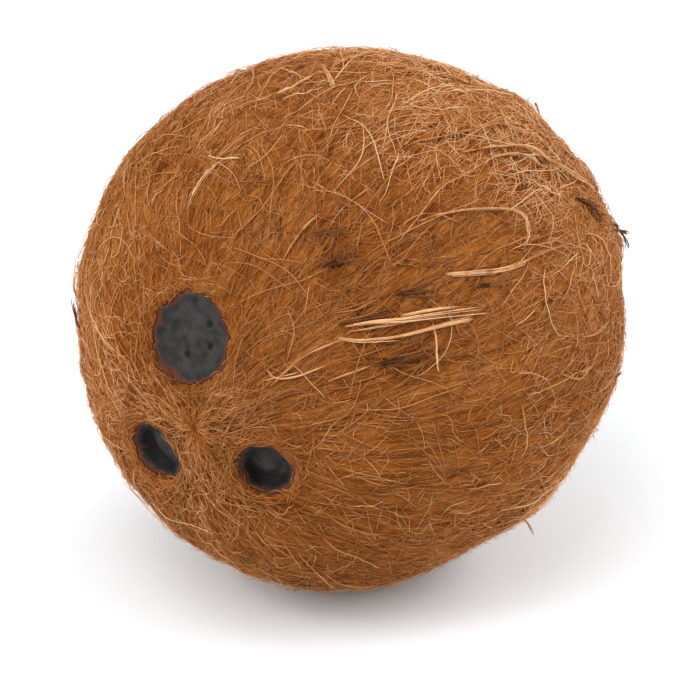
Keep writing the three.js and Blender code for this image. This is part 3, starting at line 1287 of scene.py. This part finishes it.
@dataclass(frozen=True)
class Wisp:
    """A loose strand: a few fibres that run together past places, each a (tilt, turn) in degrees.

    A free strand's tip stands off the shell, where the others dip back in.
    """

    stops: tuple[tuple[float, float], ...]
    lift: float = 1.0
    fibres: int = 5
    spread: float = 0.35
    radius: float = 0.2
    tone: float = 0.88
    free: bool = False
    dip: float = 0.1
    bed: float = 0.1

    def aims(self, share: Numbers) -> Numbers:
        """Gives directions along the strand.

        Args:
            share: Shares of its length, from 0 to 1.

        Returns:
            Unit vectors on a smooth curve through the stops.
        """
        stops = direction(*np.radians(np.array(self.stops)).T)
        ends = [2 * stops[0] - stops[1], *stops, 2 * stops[-1] - stops[-2]]
        place = share * (len(stops) - 1)
        part = np.minimum(place.astype(int), len(stops) - 2)
        t = (place - part)[:, None]
        a, b, c, d = (np.stack([ends[i + k] for i in part]) for k in range(4))
        curve = 2 * b + (c - a) * t + (2 * a - 5 * b + 4 * c - d) * t**2 + (3 * b - a - 3 * c + d) * t**3
        return unit(curve)

    def heights(self, share: Numbers) -> Numbers:
        """Gives the strand's height over the shell.

        Args:
            share: Shares of its length, from 0 to 1.

        Returns:
            One height for each share, in millimetres.
        """
        rooted = smoothstep(share, 0, self.dip)
        if self.free:
            return self.lift * share * rooted + self.bed
        return self.lift * np.sin(np.pi * share) * rooted * smoothstep(1 - share, 0, self.dip) + self.bed


@dataclass
class LooseStrands:
    """All strands that stand out: those seen one by one, and others spread by a rule over the whole nut."""

    form: NutForm
    seed: int = 21
    rings: int = 14
    scattered: int = 60
    scatter_seed: int = 7
    reach: tuple[float, float] = (14, 34)
    root_tilts: tuple[float, float] = (9, 160)
    end_tilts: tuple[float, float] = (20, 172)
    lift: tuple[float, float] = (0.4, 1.5)
    drift: float = 18.0
    bow: float = 9.0
    free_share: float = 0.25
    clear_of_eyes: float = 4.0
    clear_of_floor: float = 34.0
    fibre_starts: tuple[float, float] = (0.0, 0.12)
    fibre_ends: tuple[float, float] = (0.8, 1.0)
    twist: float = 1.2
    closeness: tuple[float, float] = (0.1, 1.0)
    opening: float = 0.35
    deepest: float = -0.2
    thinning: tuple[float, float] = (0.6, 1.1)
    tone_spread: float = 0.06

    def is_clear(self, place: tuple[float, float]) -> bool:
        """Says whether a place is clear of the eyes, the worn side and the floor.

        Args:
            place: Its tilt and turn, in degrees.

        Returns:
            Whether a strand may pass there.
        """
        aim = direction(*np.radians(place))
        for eye in self.form.eyes:
            if eye.angle(aim) * self.form.half_width <= eye.radius + self.clear_of_eyes:
                return False
        clear_of_worn = float(self.form.worn_side.distance(aim)) > 1
        return clear_of_worn and math.degrees(math.acos(-float(aim[2]))) > self.clear_of_floor

    def scattered_wisps(self) -> list[Wisp]:
        """Spreads strands evenly over the shell, more or less along the ribs.

        Returns:
            The strands.
        """
        golden = 180 * (3 - math.sqrt(5))
        draws = itertools.count()
        wisps = []

        def random(low: float, high: float) -> float:
            """Draws the next number between two limits."""
            return low + (high - low) * float(lattice_value(next(draws), self.scatter_seed, 1))

        for i in range(self.scattered):
            tilt = math.degrees(math.acos(1 - 2 * (i + 0.5) / self.scattered))
            turn = i * golden % 360
            reach = random(*self.reach) / 2
            drift = random(-self.drift, self.drift) / 2
            lift = random(*self.lift)
            free = random(0, 1) < self.free_share
            bow = random(-self.bow, self.bow)
            start = (float(np.clip(tilt - reach, *self.root_tilts)), turn - drift)
            end = (float(np.clip(tilt + reach, *self.end_tilts)), turn + drift)
            middle = ((start[0] + end[0]) / 2, turn + bow)
            if all(self.is_clear(place) for place in (start, (tilt, turn), end)):
                stops = (start, middle, end)
                wisps.append(Wisp(stops, lift, fibres=4, spread=0.4, radius=0.12, tone=0.72, free=free))
        return wisps

    def build(self, noted: tuple[Wisp, ...]) -> bpy.types.Object:
        """Builds the strands as one piece.

        Args:
            noted: The strands that are seen one by one, with dark fibres that paint the shadow of some of
                them.

        Returns:
            The piece.
        """
        random = np.random.default_rng(self.seed)
        template = FibreTemplate(self.rings)
        aims, heights, radii, tones = [], [], [], []
        for wisp in [*noted, *self.scattered_wisps()]:
            for _ in range(wisp.fibres):
                start, stop = random.uniform(*self.fibre_starts), random.uniform(*self.fibre_ends)
                own = start + (stop - start) * template.rings
                line = wisp.aims(own)
                side = unit(np.cross(line, np.gradient(line, axis=0)))
                angle = random.uniform(0, 2 * np.pi) + random.normal(0, self.twist) * own
                away = wisp.spread * random.uniform(*self.closeness) * (self.opening + own)
                aims.append(unit(line + side * (away * np.cos(angle) / self.form.half_width)[:, None]))
                heights.append(np.maximum(wisp.heights(own) + away * np.sin(angle), self.deepest))
                radii.append(wisp.radius * random.uniform(*self.thinning))
                tones.append(wisp.tone + random.normal(0, self.tone_spread))
        columns = (np.array(column) for column in (aims, heights, radii, tones))
        return fibres("loose_strands", self.form, template, *columns)


@dataclass
class EyeCollars:
    """Short fibres that lie round the rims of the eyes and lean a little over them."""

    form: NutForm
    seed: int = 31
    rings: int = 5
    fibres_a_millimetre: float = 7.0
    place: tuple[float, float] = (1.0, 1.34)
    nearest: float = 0.86
    length: tuple[float, float] = (1.8, 5.5)
    radius: tuple[float, float] = (0.07, 0.15)
    lift: tuple[float, float] = (0.05, 0.5)
    sink: float = 0.1
    rooted_share: float = 0.6
    outward_lean: float = -4.0
    lean: float = 32.0
    inward_curl: float = 6.0
    curl: float = 9.0
    tone: float = 0.5
    tone_spread: float = 0.09

    def build(self) -> bpy.types.Object:
        """Builds the three collars as one piece.

        Returns:
            The piece.
        """
        random = np.random.default_rng(self.seed)
        template = FibreTemplate(self.rings)
        aims = []
        for eye in self.form.eyes:
            away, across = eye.axes
            count = int(2 * np.pi * eye.radius * self.fibres_a_millimetre)
            bearing = random.uniform(0, 2 * np.pi, count)
            radial = turned(bearing, away, across)
            around = turned(bearing, across, -away)
            angle = random.uniform(*self.place, count) * eye.radius / self.form.half_width
            start = unit(turned(angle, eye.centre, radial))
            lean = np.radians(random.normal(self.outward_lean, self.lean, count))
            way = np.where(random.random(count) < 0.5, 1, -1)
            heading = turned(lean, way[:, None] * around, radial)
            stride = random.uniform(*self.length, count) / self.form.half_width / self.rings
            curl = np.radians(random.normal(0, self.curl, count) - way * self.inward_curl)
            aims.append(walk(start, heading, stride, curl, self.rings))
        aims = np.concatenate(aims)
        aims = aims[self.form.is_clear_of_eyes(aims, self.nearest)]
        count = len(aims)
        lift = random.uniform(*self.lift, count)[:, None]
        heights = -self.sink + lift * smoothstep(template.rings[None, :], 0, self.rooted_share)
        radii = random.uniform(*self.radius, count)
        tones = random.normal(self.tone, self.tone_spread, count)
        return fibres("eye_collars", self.form, template, aims, heights, radii, tones)


class End(Enum):
    """The two ends of the nut."""

    STEM = "stem"
    TIP = "tip"


@dataclass
class PoleTuft:
    """Fibres that start round one end of the nut and head towards the far tip."""

    form: NutForm
    end: End
    seed: int
    count: int
    place: tuple[float, float]
    length: tuple[float, float]
    swirl: float
    lean: float
    stand: tuple[float, float]
    radius: tuple[float, float] = (0.08, 0.16)
    rings: int = 6
    tone: float = 0.5
    tone_spread: float = 0.11
    nearest_eye: float = 1.06
    curl: float = 7.0
    sink: float = 0.15
    rise: float = 0.3
    rooted_share: float = 0.4

    def build(self) -> bpy.types.Object:
        """Builds the tuft.

        Returns:
            The piece.
        """
        random = np.random.default_rng(self.seed)
        template = FibreTemplate(self.rings)
        bearing = random.uniform(0, 2 * np.pi, self.count)
        tilt = random.uniform(*self.place, self.count) / self.form.half_width
        if self.end is End.TIP:
            tilt = np.pi - tilt
        start = direction(tilt, bearing)
        lean = np.radians(random.normal(self.swirl, self.lean, self.count))
        heading = turned(lean, *shell_axes(tilt, bearing))
        stride = random.uniform(*self.length, self.count) / self.form.half_width / self.rings
        curl = np.radians(random.normal(0, self.curl, self.count))
        aims = walk(start, heading, stride, curl, self.rings)
        stand = random.uniform(*self.stand, self.count)[:, None]
        share = template.rings[None, :]
        heights = -self.sink + self.rise * smoothstep(share, 0, self.rooted_share) + stand * share**2
        radii = random.uniform(*self.radius, self.count)
        tones = random.normal(self.tone, self.tone_spread, self.count)
        clear = self.form.is_clear_of_eyes(aims, self.nearest_eye)
        name = f"{self.end.value}_tuft"
        return fibres(name, self.form, template, aims[clear], heights[clear], radii[clear], tones[clear])


# Studio


def towards(azimuth: float, elevation: float) -> Vector:
    """Gives the direction of a place round the nut.

    Args:
        azimuth: Degrees round from the stem end, towards +X.
        elevation: Degrees over the floor.

    Returns:
        A unit vector.
    """
    a, e = math.radians(azimuth), math.radians(elevation)
    return Vector((math.sin(a) * math.cos(e), -math.cos(a) * math.cos(e), math.sin(e)))


@dataclass(frozen=True)
class Softbox:
    """A soft square light: its power in watts, and its place in degrees round from the camera and up."""

    name: str
    power: float
    round_from_camera: float
    elevation: float


@dataclass
class Studio:
    """A white floor, four soft lights, pale surroundings, and a camera at the photo's angle."""

    form: NutForm
    floor_size: float = 12.0
    azimuth: float = 31.0
    elevation: float = 25.0
    distance: float = 0.75
    sensor: float = 36.0
    pixels_a_mm: float = 4.525
    nut_centre_pixel: tuple[float, float] = (352.0, 317.5)
    surroundings: float = 0.6
    softbox_size: float = 0.6
    softbox_reach: float = 0.95
    softboxes: tuple[Softbox, ...] = (
        Softbox("front_softbox", 4.1, -25, 58),
        Softbox("left_softbox", 6.8, -60, 28),
        Softbox("right_softbox", 4.9, 80, 28),
        Softbox("back_softbox", 4.4, 120, 28),
    )
    clip: tuple[float, float] = (0.01, 50.0)

    def floor(self) -> None:
        """Adds the floor."""
        bpy.ops.mesh.primitive_plane_add(size=self.floor_size)
        plane = bpy.context.object
        plane.name = "floor"
        plane.data.materials.append(FloorFinish().material())

    def camera(self) -> None:
        """Adds the camera, aimed so that the nut's centre falls where the photo has it."""
        back = towards(self.azimuth, self.elevation)
        right = towards(self.azimuth + 90, 0)
        up = back.cross(right)
        view_width = PHOTO_PIXELS / self.pixels_a_mm * MM
        centre = Vector(self.form.centre * MM)
        middle = PHOTO_PIXELS / 2
        off_right = (self.nut_centre_pixel[0] - middle) / self.pixels_a_mm * MM
        off_up = (middle - self.nut_centre_pixel[1]) / self.pixels_a_mm * MM
        target = centre - right * off_right - up * off_up
        data = bpy.data.cameras.new("camera")
        data.sensor_width = self.sensor
        data.lens = self.sensor * self.distance / view_width
        data.clip_start, data.clip_end = self.clip
        camera = bpy.data.objects.new("camera", data)
        camera.location = centre + back * self.distance
        camera.rotation_euler = (target - camera.location).to_track_quat("-Z", "Y").to_euler()
        bpy.context.scene.collection.objects.link(camera)
        bpy.context.scene.camera = camera

    def light(self, softbox: Softbox) -> None:
        """Adds a light that faces the nut.

        Args:
            softbox: The light.
        """
        aim = towards(self.azimuth + softbox.round_from_camera, softbox.elevation)
        data = bpy.data.lights.new(softbox.name, "AREA")
        data.energy = softbox.power
        data.size = self.softbox_size
        lamp = bpy.data.objects.new(softbox.name, data)
        lamp.location = Vector(self.form.centre * MM) + aim * self.softbox_reach
        lamp.rotation_euler = (-aim).to_track_quat("-Z", "Y").to_euler()
        bpy.context.scene.collection.objects.link(lamp)

    def build(self) -> None:
        """Sets up floor, light, surroundings and camera."""
        scene = bpy.context.scene
        world = bpy.data.worlds.new("white")
        world.use_nodes = True
        background = world.node_tree.nodes["Background"]
        background.inputs["Color"].default_value = (1, 1, 1, 1)
        background.inputs["Strength"].default_value = self.surroundings
        scene.world = world
        scene.view_settings.view_transform = "Standard"
        scene.view_settings.look = "None"
        self.floor()
        for softbox in self.softboxes:
            self.light(softbox)
        self.camera()


MATS = (
    FibreStyle(
        name="ground_fibres_a", count=6400, seed=11, rings=4, length=(6, 17), radius=(0.08, 0.19), lean=16,
        stray_share=0.1, curl=22, sink=0.22, lift=(0.0, 0.22), free_share=0.04, free_lift=(0.1, 0.4),
        tone=0.46, tone_spread=0.09,
    ),
    FibreStyle(
        name="ground_fibres_b", count=6400, seed=12, rings=4, length=(5, 14), radius=(0.07, 0.15), lean=24,
        stray_share=0.16, curl=30, sink=0.2, lift=(0.05, 0.3), free_share=0.06, free_lift=(0.1, 0.5),
        tone=0.56, tone_spread=0.09, patch_tone=0.12,
    ),
    FibreStyle(
        name="tan_fibres", count=3800, seed=13, rings=6, length=(5, 18), radius=(0.05, 0.11), lean=30,
        stray_share=0.25, curl=50, sink=0.15, lift=(0.15, 0.5), free_share=0.15, free_lift=(0.2, 0.8),
        tone=0.65, tone_spread=0.1, patch_tone=0.12, worn_off=0.6,
    ),
    FibreStyle(
        name="curled_fibres", count=1500, seed=14, rings=8, length=(4, 12), radius=(0.05, 0.1), lean=35,
        stray_share=0.6, curl=130, sink=0.1, lift=(0.2, 0.8), free_share=0.5, free_lift=(0.2, 1.2),
        tone=0.66, tone_spread=0.13, wave=0.5, worn_off=0.85,
    ),
    FibreStyle(
        name="pale_threads", count=360, seed=15, rings=10, length=(8, 26), radius=(0.08, 0.15), lean=24,
        stray_share=0.2, curl=45, sink=0.1, lift=(0.4, 1.1), free_share=0.2, free_lift=(0.3, 1.4),
        tone=0.8, tone_spread=0.08, wave=0.12, worn_off=0.95,
    ),
    FibreStyle(
        name="down", count=6000, seed=16, rings=4, length=(1.6, 4.2), radius=(0.035, 0.06), lean=40,
        stray_share=0.7, curl=60, sink=0.05, lift=(0.1, 0.4), free_share=1.0, free_lift=(0.5, 2.0),
        tone=0.76, tone_spread=0.1, worn_off=0.5,
    ),
)
# The strands that stand out and the dark tufts: stops, lift, number of fibres, spread, radius, tone, free
NOTED_WISPS = (
    Wisp(((37, 49), (42, 52.4), (46.5, 55.6), (54, 59.3), (68, 65)), 1.5, 9, 0.7, 0.19, 0.92),
    Wisp(((34.5, 50.5), (38, 55), (42, 58), (48, 61.5)), 1.0, 5, 0.5, 0.16, 0.84),
    Wisp(((39.6, 57), (47, 60), (55.5, 62.3), (61, 64)), 1.2, 7, 0.55, 0.18, 0.92),
    Wisp(((47, 54.8), (53, 57.4), (59, 60)), 1.3, 6, 0.6, 0.17, 0.9),
    Wisp(((36.5, 50.5), (42, 54), (48.5, 57)), 0.8, 4, 0.5, 0.15, 0.82),
    Wisp(((52, 60.3), (51, 64), (50, 68.5), (49.5, 73)), 1.0, 3, 0.3, 0.19, 0.9),
    Wisp(
        ((61, 38.4), (66, 40.8), (72, 43.7), (79, 48), (81, 50.3), (80.8, 53), (78.4, 55.7), (74, 57.7)),
        1.4, 5, 0.4, 0.17, 0.88,
    ),
    Wisp(((59, 52), (63.5, 54.8), (70.5, 58), (78, 59.3)), 0.9, 9, 0.8, 0.19, 0.88),
    Wisp(((78, 32), (90.5, 36.7), (98, 40.4), (103, 46.4), (111, 53), (122, 58)), 1.5, 7, 0.6, 0.18, 0.83),
    Wisp(((85, 37), (91, 39.2), (96, 42), (101, 47)), 1.0, 5, 0.5, 0.17, 0.82),
    Wisp(((20, 43.7), (21, 50.8), (25.3, 55.5), (31, 57)), 0.6, 4, 0.4, 0.15, 0.85),
    Wisp(((18.7, 49), (22.7, 52.6), (26, 55.1)), 0.5, 3, 0.3, 0.15, 0.84),
    Wisp(((29, 62.4), (32.7, 62.6), (38.6, 63.2)), 0.5, 3, 0.3, 0.15, 0.82),
    Wisp(((69, -17), (73, -10), (79, -6), (88, -6)), 1.3, 6, 0.5, 0.18, 0.84),
    Wisp(((56, -18), (54, -12), (55, -6)), 0.9, 4, 0.4, 0.17, 0.88),
    Wisp(((55, -12), (49, -16), (42, -18)), 0.8, 5, 0.45, 0.18, 0.88),
    Wisp(((91, -8), (84, -2), (78, 3)), 1.3, 6, 0.6, 0.17, 0.84, True),
    Wisp(((41, -69), (31, -69), (22, -66)), 0.6, 4, 0.4, 0.16, 0.8),
    Wisp(((78, 84), (86, 88), (89, 83)), 0.8, 4, 0.5, 0.16, 0.78),
    Wisp(((120, 67), (124, 69), (127, 71)), 2.4, 9, 0.6, 0.22, 0.03, True),
    Wisp(((124, 66), (124, 70), (122, 74)), 1.8, 6, 0.6, 0.2, 0.06, True),
    Wisp(((104, 96), (107, 97), (110, 98)), 1.4, 5, 0.4, 0.18, 0.1, True),
    Wisp(((79, 122), (85, 127), (90, 132)), 4.6, 4, 0.3, 0.15, 0.62, True),
    Wisp(((44, -86), (48, -83), (53, -80)), 1.6, 6, 0.5, 0.16, 0.12, True),
    # Dark fibres under and beside the pale strands: painted shadow of the strands.
    Wisp(((36, 47), (42, 50.5), (48, 53.5)), 0.45, 9, 0.9, 0.17, 0.27),
    Wisp(((48, 49), (53, 52), (58, 54)), 0.4, 16, 2.0, 0.17, 0.2),
    Wisp(((41, 31), (45, 34), (49, 38)), 0.4, 14, 1.8, 0.16, 0.26),
    Wisp(((39, 64), (44, 66), (49, 67)), 0.35, 14, 1.7, 0.16, 0.24),
    Wisp(((44, 21), (47, 25), (50, 29)), 0.4, 10, 1.4, 0.15, 0.28),
    Wisp(((103, 54), (107, 58), (112, 62)), 0.4, 12, 1.6, 0.17, 0.2),
    Wisp(((62, 57), (68, 60), (74, 61.5)), 0.4, 8, 0.9, 0.16, 0.26),
)


def main() -> None:
    """Builds the nut, its fibres and the studio."""
    logging.basicConfig(level=logging.INFO, format="%(name)s: %(message)s")
    form = NutForm()
    fibre = FibreFinish().material()
    shell = Shell(form).build()
    dress(shell, ShellFinish(form).material())
    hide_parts(NODE)
    for style in MATS:
        dress(FibreMat(form, style).build(), fibre)
    dress(LooseStrands(form).build(NOTED_WISPS), fibre)
    dress(EyeCollars(form).build(), fibre)
    stem_tuft = PoleTuft(
        form, End.STEM, seed=43, count=900, place=(0.1, 13.0), length=(3.0, 8.0), swirl=0, lean=38,
        stand=(0.0, 0.5), tone=0.56,
    )
    tip_tuft = PoleTuft(
        form, End.TIP, seed=41, count=420, place=(3.5, 13.0), length=(4.0, 11.0), swirl=22, lean=20,
        stand=(0.1, 1.3),
    )
    for tuft in (stem_tuft, tip_tuft):
        dress(tuft.build(), fibre)
    Studio(form).build()


if __name__ == "__main__":
    main()
